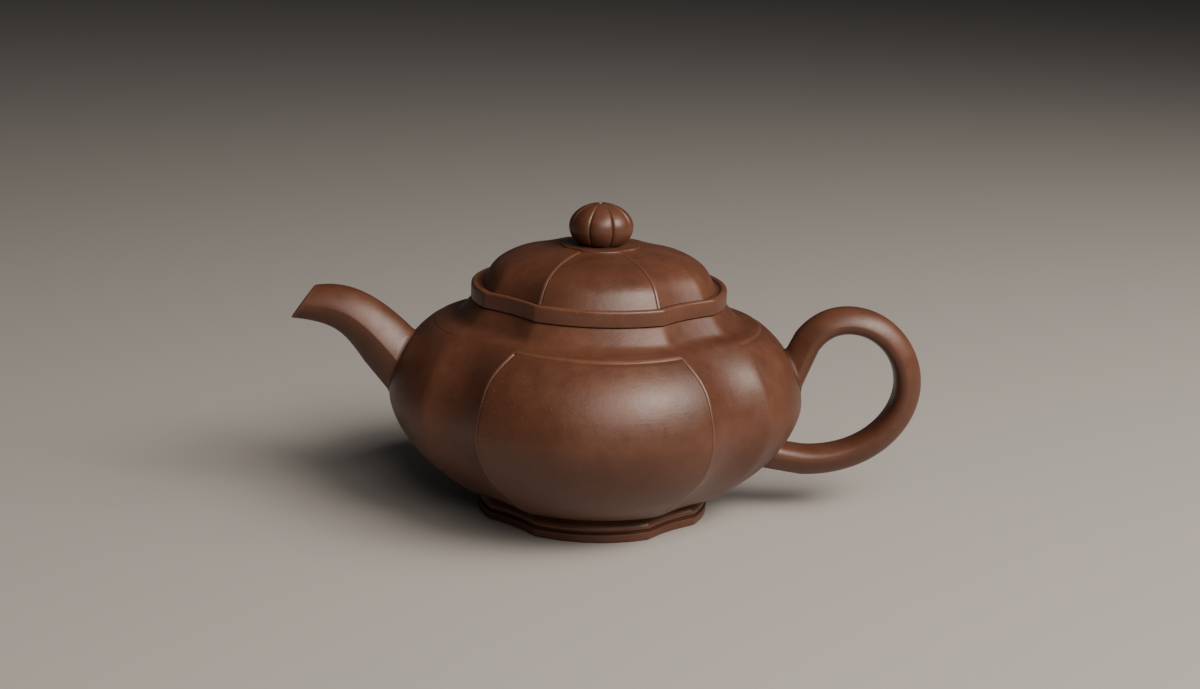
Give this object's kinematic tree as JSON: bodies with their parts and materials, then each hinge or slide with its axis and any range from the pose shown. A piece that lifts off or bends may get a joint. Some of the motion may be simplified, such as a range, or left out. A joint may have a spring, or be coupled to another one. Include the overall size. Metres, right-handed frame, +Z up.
{
  "type": "yixing clay teapot",
  "caption": "Small fluted clay teapot with a curved spout, a loop handle and a domed lobed lid that lifts off by its melon knob.",
  "frame": {"origin": "on the pot's axis, in the plane of the foot ring's underside", "axes": "+Z up along the pot's axis, -X towards the spout, +X towards the handle, -Y towards the front panel"},
  "size_m": [0.1515, 0.099, 0.0746],
  "materials": {
    "zisha_clay": "burnished unglazed stoneware, satin",
    "bare_zisha_clay": "unburnished unglazed stoneware, matt"
  },
  "bodies": {
    "pot": {"body_wall": "zisha_clay", "shoulder_slab": "zisha_clay", "neck_ring": "zisha_clay", "base_disc": "bare_zisha_clay", "foot_ring": "zisha_clay", "spout": "zisha_clay", "spout_strainer": "bare_zisha_clay", "handle": "zisha_clay"},
    "lid": {"lid_rim": "zisha_clay", "lid_dome": "zisha_clay", "lid_flange": "bare_zisha_clay", "knob": "zisha_clay"}
  },
  "joints": [
    {"name": "lid_lift", "type": "slide", "parent": "pot", "child": "lid", "axis": [0, 0, 1], "range_m": [0, 0.06]}
  ]
}
